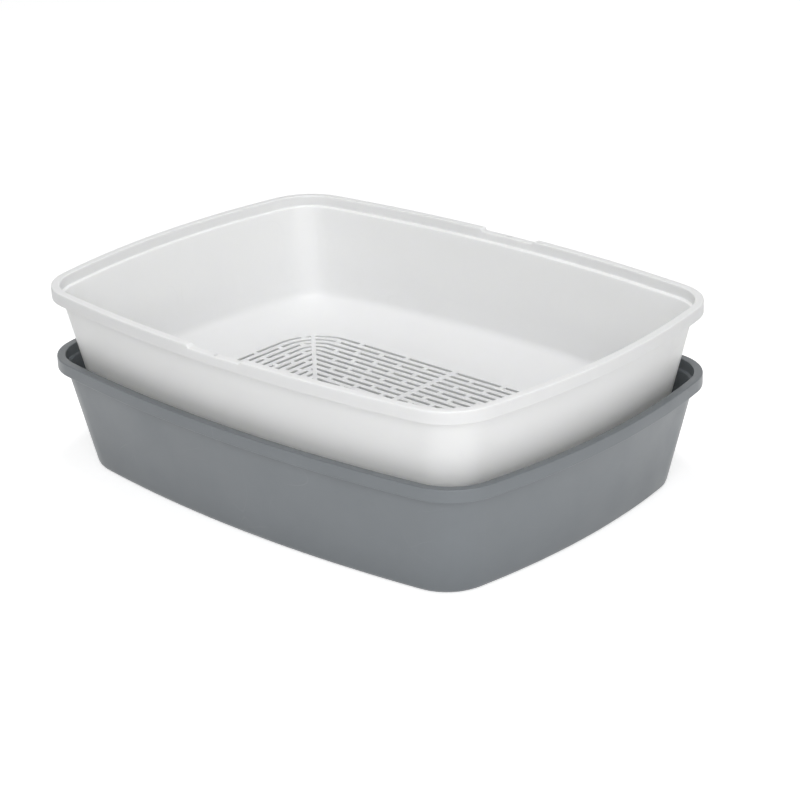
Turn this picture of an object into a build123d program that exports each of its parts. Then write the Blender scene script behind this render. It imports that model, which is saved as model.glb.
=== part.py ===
from build123d import *
from math import cos, radians, sin, sqrt
import os

# A sifting litter box: an open litter pan and a slotted sifting tray that nests in it and
# lifts out. X runs along the long sides, Y across, Z up; the origin is the middle of the
# pan's footprint. The tray is modelled raised above its seat, as it is when it is lifted.

# Outline of both rims, whose sides bow outwards
rim_length = 480.0
rim_width = 346.0
rim_long_side_radius = 1285.0
rim_short_side_radius = 606.0
rim_corner_radius = 46.0

# Section of both rims: an outer skirt, a flat top, an inner band and a ledge
skirt_height = 10.5
rim_top_width = 7.0
rim_thickness = 2.0
band_height = 9.0
rim_edge_chamfer = 1.0

# Litter pan, whose sides and ends lean out from the base up to the ledge under its rim
pan_height = 96.0
pan_ledge_width = 2.6
pan_wall = 2.2
pan_floor = 2.6
pan_end_lean = 20.1
pan_side_lean = 13.1
pan_base_long_side_radius = 1182.0
pan_base_short_side_radius = 644.0
pan_base_corner_radius = 39.0
pan_bottom_radius = 6.0
bottom_bands = 2

# Sifting tray, which nests in the pan and is shown raised this far above its seat
tray_raised = 48.5
tray_wall = 2.0
tray_floor = 2.2
tray_wall_depth = 84.0
tray_depth = 101.0
nest_clearance = 1.2
seat_clearance = 0.3

# Grate: concentric rows of slots round the middle of the tray's floor
first_row_length = 326.0
first_row_width = 192.0
first_row_corner_radius = 40.0
row_pitch = 8.0
slot_width = 3.4
grate_border = 6.0
grate_border_side_radius = 6000.0

# Ribs that part the slots: one across the middle, one on each mitre, and short bridges
cross_rib_width = 5.0
mitre_rib_width = 3.6
bridge_width = 4.0
bridges_per_half_length = 3.1
bridges_per_half_width = 1.85
least_bridge_step = 12.0

# Slope of the tray's floor, steepest at the wall and level where it meets the grate
slope_power = 1.6
slope_sections = 6

# Dip with a small nib in the middle of both long sides of the tray's rim
dip_length = 58.0
dip_depth = 2.4
nib_diameter = 3.0
nib_height = 0.8


class Outline:
    """Sizes of a rectangle with bowed sides and round corners."""

    def __init__(self, length, width, long_side_radius, short_side_radius, corner_radius):
        self.length = length
        self.width = width
        self.long_side_radius = long_side_radius
        self.short_side_radius = short_side_radius
        self.corner_radius = corner_radius

    def inset(self, amount):
        """The parallel outline that lies this far inside."""
        return Outline(
            self.length - 2 * amount,
            self.width - 2 * amount,
            self.long_side_radius - amount,
            self.short_side_radius - amount,
            self.corner_radius - amount,
        )

    def towards(self, other, share):
        """The outline part of the way to another one, with the curvatures of its sides blended."""
        return Outline(
            self.length + (other.length - self.length) * share,
            self.width + (other.width - self.width) * share,
            1 / ((1 - share) / self.long_side_radius + share / other.long_side_radius),
            1 / ((1 - share) / self.short_side_radius + share / other.short_side_radius),
            self.corner_radius + (other.corner_radius - self.corner_radius) * share,
        )


class BowedRectangle(BaseSketchObject):
    """The outline as a face: four side arcs meet in the corners, which are then rounded."""

    def __init__(self, outline, mode=Mode.ADD):
        long_centre = Vector(0, outline.width / 2 - outline.long_side_radius)
        short_centre = Vector(outline.length / 2 - outline.short_side_radius, 0)
        apart = (short_centre - long_centre).length
        direction = (short_centre - long_centre).normalized()
        along = (apart**2 + outline.long_side_radius**2 - outline.short_side_radius**2) / (2 * apart)
        across = sqrt(outline.long_side_radius**2 - along**2)
        corner = long_centre + direction * along + Vector(direction.Y, -direction.X) * across
        with BuildSketch() as face:
            with BuildLine():
                ThreePointArc((-corner.X, corner.Y), (0, outline.width / 2), (corner.X, corner.Y))
                ThreePointArc((corner.X, corner.Y), (outline.length / 2, 0), (corner.X, -corner.Y))
                ThreePointArc((corner.X, -corner.Y), (0, -outline.width / 2), (-corner.X, -corner.Y))
                ThreePointArc((-corner.X, -corner.Y), (-outline.length / 2, 0), (-corner.X, corner.Y))
            make_face()
            fillet(face.vertices(), outline.corner_radius)
        super().__init__(face.sketch, mode=mode)


# The pan's wall at any height, from the base to the underside of the ledge and beyond
rim = Outline(rim_length, rim_width, rim_long_side_radius, rim_short_side_radius, rim_corner_radius)
rim_mouth = rim.inset(rim_top_width)
band_outside = rim.inset(rim_top_width - rim_thickness)
pan_wall_top = rim.inset(rim_top_width + pan_ledge_width - pan_wall)
pan_base = Outline(
    pan_wall_top.length - 2 * pan_end_lean,
    pan_wall_top.width - 2 * pan_side_lean,
    pan_base_long_side_radius,
    pan_base_short_side_radius,
    pan_base_corner_radius,
)
pan_wall_height = pan_height - band_height - rim_thickness


def pan_wall_outline(height):
    return pan_base.towards(pan_wall_top, height / pan_wall_height)


def moulded_rim(top):
    """Skirt, rounded top and the plate of the ledge, still closed over the mouth."""
    with BuildPart() as channel:
        with BuildSketch(Plane.XY.offset(top)):
            BowedRectangle(rim)
        extrude(amount=-skirt_height)
        with BuildSketch(Plane.XY.offset(top - rim_thickness)):
            BowedRectangle(rim.inset(rim_thickness))
            BowedRectangle(band_outside, mode=Mode.SUBTRACT)
        extrude(amount=-skirt_height, mode=Mode.SUBTRACT)
        with BuildSketch(Plane.XY.offset(top - rim_thickness)):
            BowedRectangle(band_outside)
        extrude(amount=-band_height)
        with BuildSketch(Plane.XY.offset(top)):
            BowedRectangle(rim_mouth)
        extrude(amount=-band_height, mode=Mode.SUBTRACT)
        rim_top = channel.faces().sort_by(Axis.Z)[-1]
        chamfer(rim_top.outer_wire().edges(), rim_edge_chamfer)
    return channel.part


def pan_form(bottom, top, thickness):
    """The pan's wall, inside or outside, on a floor with a rounded edge in a few flat bands."""
    radius = pan_bottom_radius - thickness
    with BuildPart() as form:
        for band in range(bottom_bands + 1):
            angle = radians(90 * band / bottom_bands)
            height = bottom + radius * (1 - cos(angle))
            with BuildSketch(Plane.XY.offset(height)):
                BowedRectangle(pan_wall_outline(height).inset(thickness + radius * (1 - sin(angle))))
        with BuildSketch(Plane.XY.offset(top)):
            BowedRectangle(pan_wall_outline(top).inset(thickness))
        loft(ruled=True)
    return form.part


with BuildPart() as litter_pan:
    add(pan_form(0, pan_wall_height, 0))
    add(moulded_rim(pan_height))
    add(pan_form(pan_floor, pan_height - band_height, pan_wall), mode=Mode.SUBTRACT)
litter_pan.part.label = "litter_pan"

# Heights of the tray: seated, its ledge lies on the pan's rim
seated_top = pan_height + seat_clearance + rim_thickness + band_height
tray_top = seated_top + tray_raised
ledge_underside = tray_top - band_height - rim_thickness
wall_foot = tray_top - tray_wall_depth
grate_top = tray_top - tray_depth
grate_underside = grate_top - tray_floor
grate_edge = Outline(
    first_row_length + slot_width + 2 * grate_border,
    first_row_width + slot_width + 2 * grate_border,
    grate_border_side_radius,
    grate_border_side_radius,
    first_row_corner_radius + slot_width / 2 + grate_border,
)
grate_rows = int((first_row_width / 2 - slot_width) / row_pitch) + 1
mitre_middle = (first_row_length - first_row_width) / 2 + first_row_width / 4
mitre_rib_length = first_row_width / 2 * sqrt(2)


def tray_wall_outline(height):
    """The outside of the tray's wall, which follows the inside of the pan's wall when seated."""
    return pan_wall_outline(height - tray_raised).inset(pan_wall + nest_clearance)


def basin(foot, foot_height, mouth, mouth_height, bottom_height):
    """A leaning wall above a floor that slopes down to the edge of the grate."""
    with BuildPart() as form:
        with BuildSketch(Plane.XY.offset(foot_height)):
            BowedRectangle(foot)
        with BuildSketch(Plane.XY.offset(mouth_height)):
            BowedRectangle(mouth)
        loft(ruled=True)
        for section in range(slope_sections + 1):
            share = section / slope_sections
            fall = 1 - (1 - share) ** slope_power
            with BuildSketch(Plane.XY.offset(foot_height - (foot_height - bottom_height) * fall)):
                BowedRectangle(foot.towards(grate_edge, share))
        loft(ruled=True)
    return form.part


class GrateRow(BaseSketchObject):
    """The slots of one row of the grate, counted inwards, between its ribs and bridges."""

    def __init__(self, row, mode=Mode.ADD):
        length = first_row_length - 2 * row * row_pitch
        width = first_row_width - 2 * row * row_pitch
        step_along = length / 2 / bridges_per_half_length
        step_across = width / 2 / bridges_per_half_width
        with BuildSketch() as slots:
            for growth, ring_mode in ((slot_width, Mode.ADD), (-slot_width, Mode.SUBTRACT)):
                radius = first_row_corner_radius - row * row_pitch + growth / 2
                if radius > slot_width:
                    RectangleRounded(length + growth, width + growth, radius, mode=ring_mode)
                else:
                    Rectangle(length + growth, width + growth, mode=ring_mode)
            with GridLocations(step_along, width, 5 + row % 2, 2):
                Rectangle(bridge_width, row_pitch, mode=Mode.SUBTRACT)
            if step_across > least_bridge_step:
                with GridLocations(length, step_across, 2, 4 - row % 2):
                    Rectangle(row_pitch, bridge_width, mode=Mode.SUBTRACT)
            Rectangle(cross_rib_width, width + row_pitch, mode=Mode.SUBTRACT)
            for end, side in ((1, 1), (1, -1), (-1, 1), (-1, -1)):
                with Locations((end * mitre_middle, side * first_row_width / 4)):
                    Rectangle(mitre_rib_length, mitre_rib_width, rotation=45 * end * side, mode=Mode.SUBTRACT)
        super().__init__(slots.sketch, mode=mode)


with BuildPart() as dip_floor:
    with BuildSketch(Plane.XY.offset(tray_top - rim_thickness)):
        Rectangle(dip_length, rim_width)
        BowedRectangle(rim, mode=Mode.INTERSECT)
        BowedRectangle(rim_mouth, mode=Mode.SUBTRACT)
    extrude(amount=-dip_depth)

with BuildPart() as sifting_tray:
    add(
        basin(
            tray_wall_outline(wall_foot - tray_floor / 2),
            wall_foot - tray_floor / 2,
            tray_wall_outline(ledge_underside),
            ledge_underside,
            grate_underside,
        )
    )
    add(moulded_rim(tray_top))
    add(dip_floor.part)
    with BuildSketch(Plane.XZ):
        Polygon(
            (-dip_length / 2, tray_top),
            (-dip_length / 2 + dip_depth, tray_top - dip_depth),
            (dip_length / 2 - dip_depth, tray_top - dip_depth),
            (dip_length / 2, tray_top),
            align=None,
        )
    extrude(amount=rim_width / 2, both=True, mode=Mode.SUBTRACT)
    with BuildSketch(Plane.XY.offset(tray_top - dip_depth)):
        with GridLocations(0, rim_width - rim_top_width, 1, 2):
            Circle(nib_diameter / 2)
    extrude(amount=nib_height)
    add(
        basin(
            tray_wall_outline(wall_foot).inset(tray_wall),
            wall_foot,
            tray_wall_outline(tray_top - band_height).inset(tray_wall),
            tray_top - band_height,
            grate_top,
        ),
        mode=Mode.SUBTRACT,
    )
    for row in range(grate_rows):
        with BuildSketch(Plane.XY.offset(grate_top)):
            GrateRow(row)
    extrude(amount=2 * tray_floor, both=True, mode=Mode.SUBTRACT)
sifting_tray.part.label = "sifting_tray"

os.makedirs("parts", exist_ok=True)
export_step(litter_pan.part, "parts/litter_pan.step")
export_step(sifting_tray.part, "parts/sifting_tray.step")
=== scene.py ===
import bpy
import bmesh
from math import acos, asin, atan2, cos, pi, radians, sin, sqrt
from mathutils import Matrix, Vector


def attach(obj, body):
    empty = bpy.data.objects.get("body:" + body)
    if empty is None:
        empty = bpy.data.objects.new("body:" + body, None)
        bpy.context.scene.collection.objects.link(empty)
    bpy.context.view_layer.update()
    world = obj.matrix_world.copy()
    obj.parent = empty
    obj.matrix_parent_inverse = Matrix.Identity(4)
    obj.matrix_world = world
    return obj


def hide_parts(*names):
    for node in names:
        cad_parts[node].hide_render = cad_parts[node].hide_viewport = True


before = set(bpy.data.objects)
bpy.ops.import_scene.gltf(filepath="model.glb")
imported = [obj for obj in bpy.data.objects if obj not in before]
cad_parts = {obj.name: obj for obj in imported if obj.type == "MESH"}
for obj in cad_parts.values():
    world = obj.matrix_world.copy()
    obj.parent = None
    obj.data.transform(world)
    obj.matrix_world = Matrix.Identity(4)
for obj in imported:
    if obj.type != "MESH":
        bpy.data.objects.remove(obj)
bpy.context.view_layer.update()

# Litter pan: a deep grey pan that holds the litter, injection moulded in one piece of glossy
# polypropylene about two millimetres thick. Its rim is folded over into a hollow channel: a
# ledge, an inner band, a flat top and an outer skirt, all with rounded edges.
mm = 0.001
pan_height = 96 * mm
pan_wall = 2.2 * mm
pan_bottom_radius = 6 * mm
band_height = 9 * mm
rim_top_width = 7 * mm
skirt_height = 10.5 * mm
edge_rounding = 0.9 * mm
sharpest_unrounded = radians(35)
widest_smooth_angle = radians(50)
# Each outline is a length, a width, the radii of its long and short sides, and its corner radius.
rim = (480 * mm, 346 * mm, 1285 * mm, 606 * mm, 46 * mm)
pan_wall_top_height = 85 * mm
pan_wall_top = (465.2 * mm, 331.2 * mm, 1277.6 * mm, 598.6 * mm, 38.6 * mm)
pan_base = (425 * mm, 305 * mm, 1182 * mm, 644 * mm, 39 * mm)

short_side_steps = 7
corner_steps = 11
long_side_steps = 9
# The tray's rim has a dip in the middle of each long side, and every ring has places at its ends.
dip_end = 29 * mm
dip_floor_end = 26.6 * mm
dip_margin = 0.5 * mm


def inset(outline, amount):
    """The parallel outline this far inside one given by length, width, side radii and corner radius."""
    length, width, long_side, short_side, corner = outline
    return length - 2 * amount, width - 2 * amount, long_side - amount, short_side - amount, corner - amount


def between(first, second, share):
    """The outline part of the way from one to another, with the curvatures of the sides blended."""
    blended = [a + (b - a) * share for a, b in zip(first, second)]
    for side in (2, 3):
        blended[side] = 1 / ((1 - share) / first[side] + share / second[side])
    return tuple(blended)


def all_round(quarter, height):
    """The whole ring of places from its quarter, which runs from the +X to the +Y axis."""
    ring = [(x, y) for x, y in quarter]
    ring += [(-x, y) for x, y in reversed(quarter[:-1])]
    ring += [(-x, -y) for x, y in quarter[1:]]
    ring += [(x, -y) for x, y in reversed(quarter[1:-1])]
    return [Vector((x, y, height)) for x, y in ring]


def ring_of(outline, height):
    """Places round a rectangle with bowed sides, closer together in its round corners."""
    length, width, long_side, short_side, corner = outline
    long_centre = Vector((0, width / 2 - long_side))
    short_centre = Vector((length / 2 - short_side, 0))
    apart = (short_centre - long_centre).length
    direction = (short_centre - long_centre) / apart
    to_long, to_short = long_side - corner, short_side - corner
    along = (apart**2 + to_long**2 - to_short**2) / (2 * apart)
    across = sqrt(to_long**2 - along**2)
    corner_centre = long_centre + direction * along + Vector((direction.y, -direction.x)) * across
    corner_start = atan2(corner_centre.y, corner_centre.x - short_centre.x)
    corner_end = atan2(corner_centre.y - long_centre.y, corner_centre.x)
    dip_angle = acos(dip_end / long_side)

    def turned(start, end, steps):
        return [start + (end - start) * i / steps for i in range(steps + 1)]

    arcs = [
        (short_centre, short_side, turned(0, corner_start, short_side_steps)),
        (corner_centre, corner, turned(corner_start, corner_end, corner_steps)[1:-1]),
        (
            long_centre,
            long_side,
            turned(corner_end, dip_angle, long_side_steps) + [acos(dip_floor_end / long_side), pi / 2],
        ),
    ]
    quarter = [
        (centre.x + radius * cos(angle), centre.y + radius * sin(angle))
        for centre, radius, angles in arcs
        for angle in angles
    ]
    return all_round(quarter, height)


def start_sheet(name, ring):
    """A flat face on the first ring. Each vertex keeps its number, so that a ring drawn out from it
    can be put in place; edit mode stays on."""
    bpy.ops.object.select_all(action="DESELECT")
    bpy.ops.mesh.primitive_circle_add(vertices=len(ring), radius=0.1, fill_type="NGON")
    sheet = bpy.context.object
    sheet.name = name
    sheet.data.name = name
    bpy.ops.object.mode_set(mode="EDIT")
    mesh = bmesh.from_edit_mesh(sheet.data)
    number = mesh.verts.layers.int.new("number")
    mesh.faces.ensure_lookup_table()
    corners = [loop.vert for loop in mesh.faces[0].loops]
    for i, vertex in enumerate(corners):
        vertex[number] = i
        vertex.co = ring[i]
    mesh.normal_update()
    bmesh.update_edit_mesh(sheet.data)
    bpy.ops.mesh.select_all(action="SELECT")
    return sheet


def draw_out(sheet, ring):
    """Extrudes the open edge of the sheet once and puts the new edge on the next ring."""
    bpy.ops.mesh.select_mode(type="EDGE")
    mesh = bmesh.from_edit_mesh(sheet.data)
    for edge in mesh.edges:
        edge.select_set(edge.is_boundary)
    bmesh.update_edit_mesh(sheet.data)
    bpy.ops.mesh.extrude_edges_move()
    mesh = bmesh.from_edit_mesh(sheet.data)
    number = mesh.verts.layers.int["number"]
    for vertex in mesh.verts:
        if vertex.select:
            vertex.co = ring[vertex[number]]
    bmesh.update_edit_mesh(sheet.data)


def thicken(sheet, thickness):
    """Gives the sheet its wall on the underside and closes it round its edges."""
    bpy.ops.object.mode_set(mode="OBJECT")
    solidify = sheet.modifiers.new("wall", "SOLIDIFY")
    solidify.thickness = thickness
    solidify.offset = -1
    solidify.use_even_offset = True
    bpy.ops.object.modifier_apply(modifier="wall")


def round_edges(sheet, wanted, width, segments):
    """Bevels the edges that turn sharply, where their middle is wanted."""
    bpy.ops.object.mode_set(mode="EDIT")
    bpy.ops.mesh.select_all(action="DESELECT")
    bpy.ops.mesh.select_mode(type="EDGE")
    mesh = bmesh.from_edit_mesh(sheet.data)
    mesh.normal_update()
    for edge in mesh.edges:
        middle = (edge.verts[0].co + edge.verts[1].co) / 2
        if edge.is_manifold and edge.calc_face_angle() > sharpest_unrounded and wanted(middle):
            edge.select_set(True)
    bmesh.update_edit_mesh(sheet.data)
    bpy.ops.mesh.bevel(offset=width, segments=segments, affect="EDGES")
    bpy.ops.object.mode_set(mode="OBJECT")


def smooth(sheet):
    """Shades the rounded edges smoothly and keeps the flat faces flat."""
    bpy.ops.object.shade_smooth_by_angle(angle=widest_smooth_angle)
    weighted = sheet.modifiers.new("weighted", "WEIGHTED_NORMAL")
    weighted.keep_sharp = True
    bpy.ops.object.modifier_apply(modifier="weighted")


def pan_wall_outline(height):
    """The outside of the pan's wall at a height; the tray's wall follows it too."""
    return between(pan_base, pan_wall_top, height / pan_wall_top_height)


def draw_rim(sheet, top, dips):
    """Draws out the band, the flat top and the skirt, with a dip in both long sides if wanted."""
    for outline, height in (
        (inset(rim, rim_top_width), top - band_height),
        (inset(rim, rim_top_width), top),
        (rim, top),
        (rim, top - skirt_height),
    ):
        ring = ring_of(outline, height)
        if height == top:
            for place in ring:
                if abs(place.x) < dip_floor_end + dip_margin and abs(place.y) > abs(place.x):
                    place.z -= dips
        draw_out(sheet, ring)


inner_radius = pan_bottom_radius - pan_wall
bottom_steps = 4
litter_pan = start_sheet(
    "pan_shell", ring_of(inset(pan_wall_outline(pan_wall), pan_wall + inner_radius), pan_wall)
)
for i in range(1, bottom_steps + 1):
    turn = pi / 2 * i / bottom_steps
    height = pan_wall + inner_radius * (1 - cos(turn))
    depth = pan_wall + inner_radius * (1 - sin(turn))
    draw_out(litter_pan, ring_of(inset(pan_wall_outline(height), depth), height))
wall_steps = 5
ledge_height = pan_height - band_height
for i in range(1, wall_steps + 1):
    height = pan_bottom_radius + (ledge_height - pan_bottom_radius) * i / wall_steps
    draw_out(litter_pan, ring_of(inset(pan_wall_outline(height), pan_wall), height))
draw_rim(litter_pan, pan_height, 0)
thicken(litter_pan, pan_wall)
round_edges(litter_pan, lambda middle: middle.z > pan_bottom_radius, edge_rounding, 3)
smooth(litter_pan)


def moulded_surface():
    """What every moulded face of this plastic shows: faint clouds of tone, a fine satin grain from
    the mould and short thin scuffs. Gives a colour, a roughness and a height that change over it."""
    group = bpy.data.node_groups.new("moulded_surface", "ShaderNodeTree")
    for name, kind, value in (
        ("Place", "NodeSocketVector", None),
        ("Colour", "NodeSocketColor", (0.5, 0.5, 0.5, 1)),
        ("Scuffed Colour", "NodeSocketColor", (0.6, 0.6, 0.6, 1)),
        ("Clouds", "NodeSocketFloat", 0.05),
        ("Grain Scale", "NodeSocketFloat", 1000),
        ("Roughness", "NodeSocketFloat", 0.35),
        ("Roughness Spread", "NodeSocketFloat", 0.08),
        ("Scuffs", "NodeSocketFloat", 0.3),
    ):
        socket = group.interface.new_socket(name=name, in_out="INPUT", socket_type=kind)
        if value is not None:
            socket.default_value = value
    for name, kind in (
        ("Colour", "NodeSocketColor"),
        ("Roughness", "NodeSocketFloat"),
        ("Height", "NodeSocketFloat"),
    ):
        group.interface.new_socket(name=name, in_out="OUTPUT", socket_type=kind)
    nodes, links = group.nodes, group.links
    given = nodes.new("NodeGroupInput")
    made = nodes.new("NodeGroupOutput")

    def noise(scale, detail, stretch=None, source=None):
        texture = nodes.new("ShaderNodeTexNoise")
        texture.inputs["Detail"].default_value = detail
        if source is None:
            texture.inputs["Scale"].default_value = scale
        else:
            links.new(source, texture.inputs["Scale"])
        place = given.outputs["Place"]
        if stretch:
            mapping = nodes.new("ShaderNodeMapping")
            mapping.inputs["Scale"].default_value = stretch[0]
            mapping.inputs["Rotation"].default_value = stretch[1]
            links.new(place, mapping.inputs["Vector"])
            place = mapping.outputs["Vector"]
        links.new(place, texture.inputs["Vector"])
        return texture.outputs["Fac"]

    def remap(value, low, high, new_low, new_high):
        node = nodes.new("ShaderNodeMapRange")
        limits = {"From Min": low, "From Max": high, "To Min": new_low, "To Max": new_high}
        for name, number in limits.items():
            node.inputs[name].default_value = number
        links.new(value, node.inputs["Value"])
        return node.outputs["Result"]

    def arithmetic(operation, first, second):
        node = nodes.new("ShaderNodeMath")
        node.operation = operation
        for socket, value in zip(node.inputs, (first, second)):
            if isinstance(value, (int, float)):
                socket.default_value = value
            else:
                links.new(value, socket)
        return node.outputs["Value"]

    clouds = remap(noise(11, 3), 0.32, 0.68, -1, 1)
    fine_clouds = remap(noise(70, 2), 0.3, 0.7, -1, 1)
    shade = arithmetic("ADD", clouds, arithmetic("MULTIPLY", fine_clouds, 0.4))
    brighter = arithmetic("ADD", arithmetic("MULTIPLY", shade, given.outputs["Clouds"]), 1)
    toned = nodes.new("ShaderNodeVectorMath")
    toned.operation = "SCALE"
    links.new(given.outputs["Colour"], toned.inputs[0])
    links.new(brighter, toned.inputs["Scale"])

    def hairlines(stretch, turn):
        off_middle = arithmetic("SUBTRACT", noise(1, 0, (stretch, turn)), 0.5)
        return remap(arithmetic("ABSOLUTE", off_middle, 0), 0, 0.005, 1, 0)

    one_way = hairlines((7, 34, 20), (0.2, 0.1, 0.5))
    other_way = hairlines((31, 8, 24), (0.1, 0.3, -0.8))
    scratches = arithmetic("MAXIMUM", one_way, other_way)
    patches = remap(noise(24, 1), 0.5, 0.7, 0, 1)
    scuffs = arithmetic("MULTIPLY", arithmetic("MULTIPLY", scratches, patches), given.outputs["Scuffs"])
    scuffed = nodes.new("ShaderNodeMix")
    scuffed.data_type = "RGBA"
    links.new(scuffs, scuffed.inputs["Factor"])
    links.new(toned.outputs["Vector"], scuffed.inputs["A"])
    links.new(given.outputs["Scuffed Colour"], scuffed.inputs["B"])
    links.new(scuffed.outputs["Result"], made.inputs["Colour"])

    spread = arithmetic("MULTIPLY", remap(noise(34, 3), 0.3, 0.7, -1, 1), given.outputs["Roughness Spread"])
    rough = arithmetic("ADD", given.outputs["Roughness"], spread)
    rougher = arithmetic("ADD", rough, arithmetic("MULTIPLY", scuffs, 0.25))
    links.new(rougher, made.inputs["Roughness"])

    grain = noise(1, 2, None, given.outputs["Grain Scale"])
    slow_waves = noise(18, 1)
    height = arithmetic("ADD", arithmetic("MULTIPLY", slow_waves, 9), grain)
    links.new(arithmetic("SUBTRACT", height, arithmetic("MULTIPLY", scuffs, 0.6)), made.inputs["Height"])
    return group


def moulded_plastic(name, surface, height, milky, **values):
    """A polypropylene finish: the surface group's values feed one glossy plastic shader, and the
    milky share of the light goes a few millimetres into the plastic."""
    plastic = bpy.data.materials.new(name)
    plastic.use_nodes = True
    nodes, links = plastic.node_tree.nodes, plastic.node_tree.links
    shader = nodes["Principled BSDF"]
    shader.inputs["IOR"].default_value = 1.49
    shader.inputs["Subsurface Weight"].default_value = milky
    shader.inputs["Subsurface Radius"].default_value = (1, 1, 0.9)
    shader.inputs["Subsurface Scale"].default_value = 6 * mm
    finish = nodes.new("ShaderNodeGroup")
    finish.node_tree = surface
    for socket, value in values.items():
        finish.inputs[socket.replace("_", " ").title()].default_value = value
    place = nodes.new("ShaderNodeTexCoord")
    links.new(place.outputs["Object"], finish.inputs["Place"])
    bump = nodes.new("ShaderNodeBump")
    bump.inputs["Strength"].default_value = 1
    bump.inputs["Distance"].default_value = height
    links.new(finish.outputs["Height"], bump.inputs["Height"])
    links.new(bump.outputs["Normal"], shader.inputs["Normal"])
    links.new(finish.outputs["Colour"], shader.inputs["Base Color"])
    links.new(finish.outputs["Roughness"], shader.inputs["Roughness"])
    return plastic


surface = moulded_surface()
litter_pan.data.materials.clear()
litter_pan.data.materials.append(
    moulded_plastic(
        "grey_pan_plastic",
        surface,
        0.006 * mm,
        0,
        colour=(0.182, 0.199, 0.214, 1),
        scuffed_colour=(0.27, 0.288, 0.303, 1),
        clouds=0.03,
        grain_scale=900,
        roughness=0.36,
        roughness_spread=0.06,
        scuffs=0.35,
    )
)
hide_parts("litter_pan")
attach(litter_pan, "pan")

# Sifting tray: a white tray of the same plastic, whose floor slopes down like a funnel to a flat
# grate. It nests in the pan with its rim on the pan's rim, and is shown lifted out of it.
# The grate's slots lie in rings, between a rib across the middle, four ribs on the mitres and
# short bridges that are staggered from row to row.
tray_raised = 48.5 * mm
tray_top = 155.8 * mm
tray_wall = 2 * mm
nest_gap = 1.2 * mm
wall_foot = 71.8 * mm
grate_top = 54.8 * mm
slope_power = 1.6
dip_depth = 2.4 * mm

row_length = 326 * mm
row_width = 192 * mm
row_corner_radius = 40 * mm
row_pitch = 8 * mm
slot_width = 3.4 * mm
grate_rows = 12
grate_border = 6 * mm
cross_rib_width = 5 * mm
mitre_rib_width = 3.6 * mm
bridge_width = 4 * mm
along_bridges = 3.1
across_bridges = 1.85
least_bridge_step = 12 * mm
least_drawn_corner = 5 * mm
slot_end_length = 1.2 * mm
least_slot_length = 0.5 * mm
slot_edge_rounding = 0.3 * mm
grate_margin = 0.5 * mm
grate_flatness = 0.1 * mm
# Each ring of the grate has as many places as the rings of the sloping floor around it.
end_places = short_side_steps + 1 + corner_steps // 2
side_places = corner_steps // 2 + long_side_steps + 3


def bridge_places(row, along):
    """Middles of the bridges on the long sides of a row, or on its short sides."""
    if along:
        step = (row_length / 2 - row * row_pitch) / along_bridges
        return [step * i for i in ((0, 1, 2), (0.5, 1.5, 2.5))[row % 2]]
    step = (row_width / 2 - row * row_pitch) / across_bridges
    return [step * i for i in ((0.5, 1.5), (0, 1))[row % 2]] if step > least_bridge_step else []


def slot_edge(row, along, outwards):
    """Places from the middle of a side to the mitre rib, on one edge of a row's slots."""
    reach = (row_length if along else row_width) / 2 - row * row_pitch
    side = (row_width if along else row_length) / 2 - row * row_pitch
    corner = max(row_corner_radius - row * row_pitch, 0)
    half_rib = mitre_rib_width / 2

    def rib_edge(radius, reach):
        if radius < half_rib * sqrt(2):
            return reach - half_rib * sqrt(2)
        return reach - radius + radius * sin(pi / 4 - asin(half_rib / radius))

    start = reach - corner
    end = rib_edge(corner, reach)
    half_bridge = bridge_width / 2
    stops = {middle + half for middle in bridge_places(row, along) for half in (-half_bridge, half_bridge)}
    if along:
        stops = {stop for stop in stops if stop > cross_rib_width / 2} | {cross_rib_width / 2}
    stops = {stop for stop in stops if 0 < stop < end - slot_width / 2 - least_slot_length}
    places = stops | {0, end - slot_end_length, end}
    if corner > least_drawn_corner:
        places |= {start + (end - start) / 3, start + (end - start) * 2 / 3}
    places = sorted(places)
    while len(places) < (side_places if along else end_places):
        widest = max(range(len(places) - 2), key=lambda i: places[i + 1] - places[i])
        places.insert(widest + 1, (places[widest] + places[widest + 1]) / 2)
    grow = slot_width / 2 * outwards
    radius = corner + grow if corner else 0
    last = rib_edge(radius, reach + grow)
    held = max(place for place in stops | {0, start} if place < end - slot_end_length)
    edge = []
    for place in places:
        if place > held:
            place = held + (place - held) * (last - held) / (end - held)
        beyond = place - (reach + grow - radius)
        away = side + grow - radius + sqrt(radius**2 - beyond**2) if radius and beyond > 0 else side + grow
        edge.append((place, away))
    return edge


def slot_ring(row, outwards):
    """One edge of a row's slots all the way round."""
    ends = [(away, place) for place, away in slot_edge(row, False, outwards)]
    sides = list(reversed(slot_edge(row, True, outwards)))
    return all_round(ends + sides, grate_top)


def in_slot(middle):
    """Whether this place of the grate lies in a slot, and not on the plastic between the slots."""
    x, y = abs(middle.x), abs(middle.y)
    over_x, over_y = x - row_length / 2, y - row_width / 2
    corner = Vector((over_x + row_corner_radius, over_y + row_corner_radius))
    if min(corner) > 0:
        depth = row_corner_radius - corner.length
    else:
        depth = -max(over_x, over_y)
    row = round(depth / row_pitch)
    if row >= grate_rows or abs(depth - row * row_pitch) > slot_width / 2:
        return False
    mitre = x - y - (row_length - row_width) / 2
    if abs(mitre) < mitre_rib_width / sqrt(2):
        return False
    along = mitre < 0
    place = x if along else y
    if along and place < cross_rib_width / 2:
        return False
    return all(abs(place - bridge) > bridge_width / 2 for bridge in bridge_places(row, along))


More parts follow.
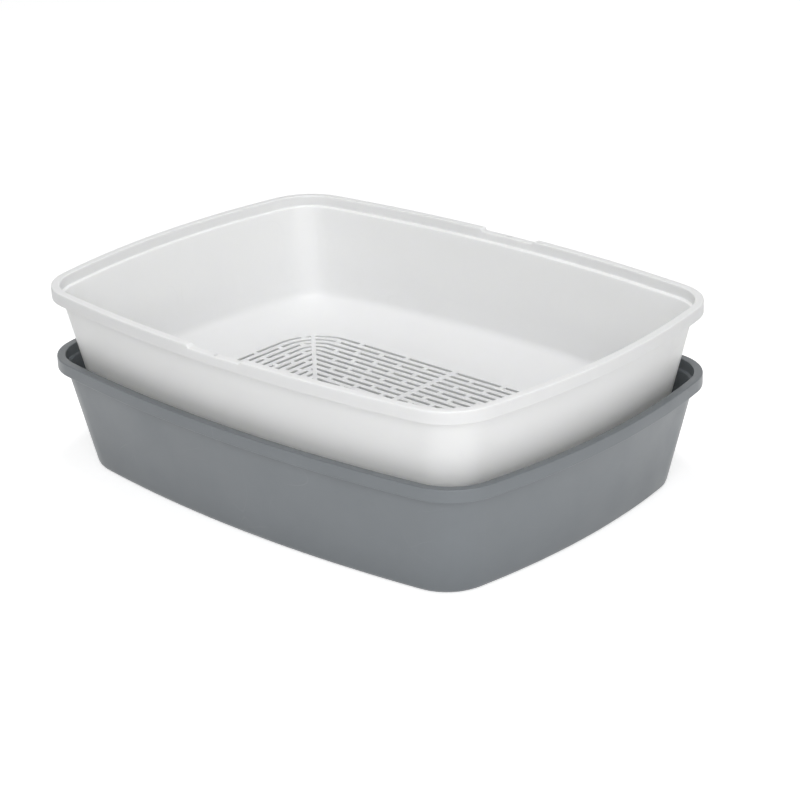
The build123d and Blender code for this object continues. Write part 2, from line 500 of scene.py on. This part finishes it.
sifting_tray = start_sheet("tray_shell", slot_ring(grate_rows - 1, -1))
draw_out(sifting_tray, slot_ring(grate_rows - 1, 1))
for row in reversed(range(grate_rows - 1)):
    draw_out(sifting_tray, slot_ring(row, -1))
    draw_out(sifting_tray, slot_ring(row, 1))
grate_edge = (
    row_length + slot_width + 2 * grate_border,
    row_width + slot_width + 2 * grate_border,
    6000 * mm,
    6000 * mm,
    row_corner_radius + slot_width / 2 + grate_border,
)
foot = inset(pan_wall_outline(wall_foot - tray_raised), pan_wall + nest_gap + tray_wall)


def slope_ring(share):
    """The sloping floor at a share of the way from the wall's foot to the grate."""
    fall = 1 - (1 - share) ** slope_power
    return ring_of(between(foot, grate_edge, share), wall_foot - (wall_foot - grate_top) * fall)


def tray_wall_ring(height):
    """The inside of the tray's wall."""
    return ring_of(inset(pan_wall_outline(height - tray_raised), pan_wall + nest_gap + tray_wall), height)


slope_steps = 14
foot_rounding_share = 0.09
foot_rounding_height = 4 * mm
for i in range(slope_steps + 1):
    share = 1 - (1 - foot_rounding_share) * i / slope_steps
    draw_out(sifting_tray, slope_ring(share))
# A short curve rounds the foot of the wall into the slope.
wall_start = wall_foot + foot_rounding_height
low, corner, high = slope_ring(foot_rounding_share), slope_ring(0), tray_wall_ring(wall_start)
for t in (0.25, 0.5, 0.75):
    draw_out(
        sifting_tray,
        [a * (1 - t) ** 2 + b * 2 * t * (1 - t) + c * t**2 for a, b, c in zip(low, corner, high)],
    )
tray_ledge = tray_top - band_height
for i in range(wall_steps + 1):
    draw_out(sifting_tray, tray_wall_ring(wall_start + (tray_ledge - wall_start) * i / wall_steps))
draw_rim(sifting_tray, tray_top, dip_depth)

# The slots are the faces between the ribs and bridges of the rings.
bpy.ops.mesh.select_mode(type="FACE")
bpy.ops.mesh.select_all(action="DESELECT")
mesh = bmesh.from_edit_mesh(sifting_tray.data)
for face in mesh.faces:
    middle = face.calc_center_median()
    face.select_set(middle.z < grate_top + grate_flatness and in_slot(middle))
bmesh.update_edit_mesh(sifting_tray.data)
bpy.ops.mesh.delete(type="FACE")
thicken(sifting_tray, tray_wall)
round_edges(sifting_tray, lambda middle: middle.z < grate_top + grate_margin, slot_edge_rounding, 2)
round_edges(sifting_tray, lambda middle: middle.z > wall_foot, edge_rounding, 3)

# A small round nib stands in the middle of each dip.
nib_diameter = 3 * mm
nib_height = 0.8 * mm
nib_row_width = rim[1] - rim_top_width
for side in (-1, 1):
    nib_place = (0, side * nib_row_width / 2, tray_top - dip_depth)
    bpy.ops.mesh.primitive_uv_sphere_add(
        segments=24, ring_count=12, radius=nib_diameter / 2, location=nib_place
    )
    bpy.context.object.scale.z = 2 * nib_height / nib_diameter
    bpy.ops.object.transform_apply(location=True, rotation=True, scale=True)
    sifting_tray.select_set(True)
    bpy.context.view_layer.objects.active = sifting_tray
    bpy.ops.object.join()
smooth(sifting_tray)
sifting_tray.data.materials.clear()
sifting_tray.data.materials.append(
    moulded_plastic(
        "white_tray_plastic",
        surface,
        0.005 * mm,
        0.5,
        colour=(0.87, 0.875, 0.87, 1),
        scuffed_colour=(0.8, 0.805, 0.8, 1),
        clouds=0.006,
        grain_scale=900,
        roughness=0.37,
        roughness_spread=0.05,
        scuffs=0.25,
    )
)
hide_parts("sifting_tray")
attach(sifting_tray, "tray")

# Camera: it looks down on the near corner of the two nested pieces, turned very slightly
# about its own axis, from about two metres away.
camera_azimuth = radians(43.60)
camera_elevation = radians(22.89)
camera_roll = radians(-1.935)
camera_distance = 1.987
camera_focal_pixels = 2472
picture_pixels = 800
aim_right = 0.01993
aim_up = 0.01175
pan_middle = Vector((0, 0, pan_height / 2))

away = Vector((
    sin(camera_azimuth) * cos(camera_elevation),
    -cos(camera_azimuth) * cos(camera_elevation),
    sin(camera_elevation),
))
side = (-away).cross(Vector((0, 0, 1))).normalized()
camera_place = pan_middle + away * camera_distance
aim = pan_middle + side * aim_right + side.cross(-away) * aim_up
forward = (aim - camera_place).normalized()
level_right = forward.cross(Vector((0, 0, 1))).normalized()
level_up = level_right.cross(forward)
right = level_right * cos(camera_roll) + level_up * sin(camera_roll)
up = level_up * cos(camera_roll) - level_right * sin(camera_roll)
bpy.ops.object.camera_add(location=camera_place)
camera = bpy.context.object
camera.rotation_euler = Matrix((right, up, -forward)).transposed().to_euler()
camera.data.sensor_width = 36
camera.data.lens = camera_focal_pixels / picture_pixels * camera.data.sensor_width
bpy.context.scene.camera = camera

# Floor: a wide matt white surface, on which the pan stands. For the camera and for reflections it
# is lifted to the white of the background, and it keeps the soft shadow under the pan.
floor_size = 12
floor_gap = 0.2 * mm
floor_lift = 0.62
bpy.ops.mesh.primitive_plane_add(size=floor_size, location=(0, 0, -floor_gap))
floor = bpy.context.object
floor.name = "floor"
floor_white = bpy.data.materials.new("floor_white")
floor_white.use_nodes = True
nodes, links = floor_white.node_tree.nodes, floor_white.node_tree.links
matt = nodes["Principled BSDF"]
matt.inputs["Base Color"].default_value = (0.9, 0.9, 0.9, 1)
matt.inputs["Roughness"].default_value = 0.9
matt.inputs["Specular IOR Level"].default_value = 0.1
rays = nodes.new("ShaderNodeLightPath")
seen = nodes.new("ShaderNodeMath")
seen.operation = "MAXIMUM"
links.new(rays.outputs["Is Camera Ray"], seen.inputs[0])
links.new(rays.outputs["Is Glossy Ray"], seen.inputs[1])
strength = nodes.new("ShaderNodeMath")
strength.operation = "MULTIPLY"
strength.inputs[1].default_value = floor_lift
links.new(seen.outputs["Value"], strength.inputs[0])
lift = nodes.new("ShaderNodeEmission")
links.new(strength.outputs["Value"], lift.inputs["Strength"])
both = nodes.new("ShaderNodeAddShader")
links.new(matt.outputs["BSDF"], both.inputs[0])
links.new(lift.outputs["Emission"], both.inputs[1])
links.new(both.outputs["Shader"], nodes["Material Output"].inputs["Surface"])
floor.data.materials.append(floor_white)

# Light: a room that the camera and the reflections see as plain white, with a soft lamp straight
# overhead and two large panels, one behind the camera and a lower one on its right.
room_light = 0.26
seen_white = 1
lamp_aim = Vector((0, 0, 0.05))
world = bpy.data.worlds.new("white_room")
bpy.context.scene.world = world
world.use_nodes = True
nodes, links = world.node_tree.nodes, world.node_tree.links
room = nodes["Background"]
room.inputs["Color"].default_value = (1, 1, 1, 1)
rays = nodes.new("ShaderNodeLightPath")
seen = nodes.new("ShaderNodeMath")
seen.operation = "MAXIMUM"
links.new(rays.outputs["Is Camera Ray"], seen.inputs[0])
links.new(rays.outputs["Is Glossy Ray"], seen.inputs[1])
strength = nodes.new("ShaderNodeMapRange")
strength.inputs["To Min"].default_value = room_light
strength.inputs["To Max"].default_value = seen_white
links.new(seen.outputs["Value"], strength.inputs["Value"])
links.new(strength.outputs["Result"], room.inputs["Strength"])
for place, size, power in (
    ((0.07, -0.07, 1.9), 0.4, 13),
    ((1.35, -1.69, 1.25), 1.2, 22),
    ((2.29, -0.83, 0.56), 1.2, 10),
):
    bpy.ops.object.light_add(type="AREA", location=place)
    lamp = bpy.context.object
    lamp.data.shape = "SQUARE"
    lamp.data.size = size
    lamp.data.energy = power
    lamp.rotation_euler = (lamp_aim - lamp.location).to_track_quat("-Z", "Y").to_euler()
bpy.context.scene.view_settings.view_transform = "Standard"
